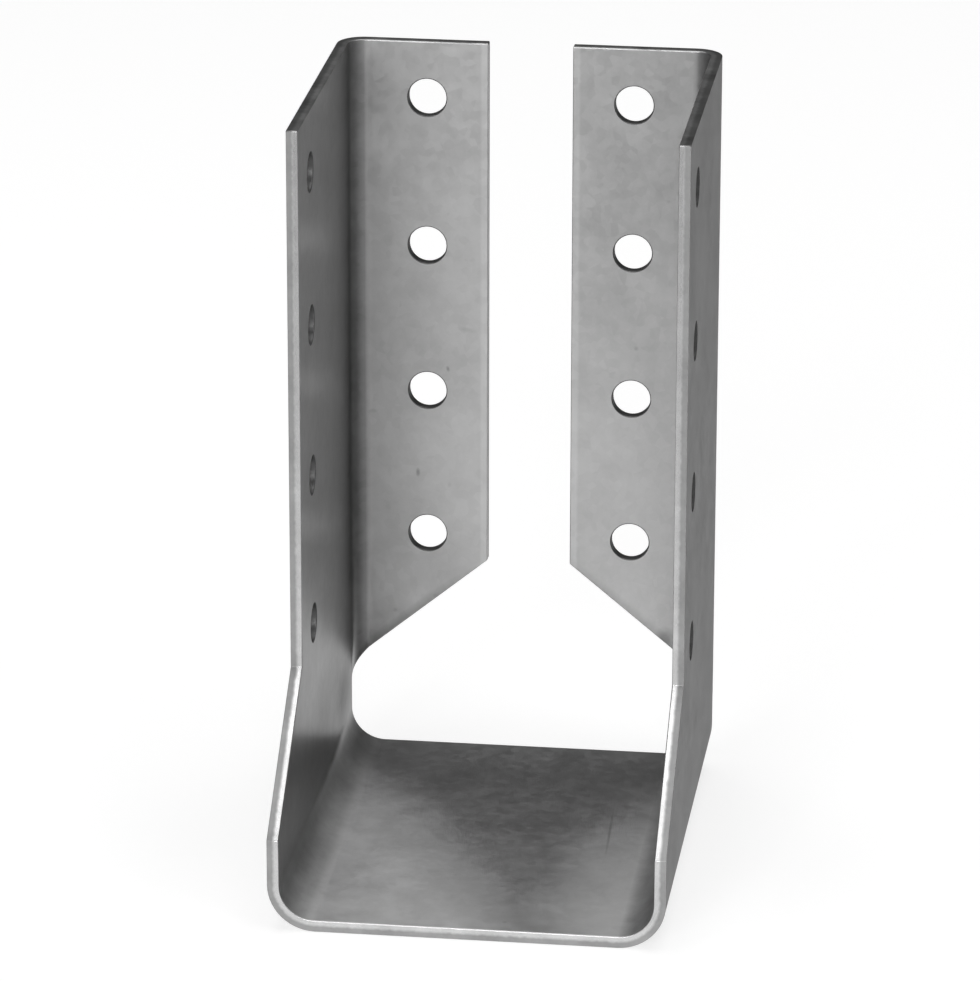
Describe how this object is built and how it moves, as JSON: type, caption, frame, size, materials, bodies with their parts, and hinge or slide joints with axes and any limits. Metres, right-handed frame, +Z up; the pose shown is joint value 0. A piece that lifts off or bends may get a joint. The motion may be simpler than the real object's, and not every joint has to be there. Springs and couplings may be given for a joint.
{
  "type": "joist hanger",
  "caption": "Folded sheet-steel joist hanger: a flat seat between two upright sides, with inward nailing flanges at the back and rows of nail holes.",
  "frame": {"origin": "the middle of the hanger's box, on the plane of the seat's underside", "axes": "+Z up along the joist's height, +Y towards the header that the flanges are nailed to, -Y the way the joist runs out, X across the joist"},
  "size_m": [0.05, 0.065, 0.098],
  "materials": {
    "galvanised_sheet": "satin hot-dip zinc, with bare sheared edges"
  },
  "bodies": {
    "root": {"joist_hanger": "galvanised_sheet"}
  },
  "joints": []
}
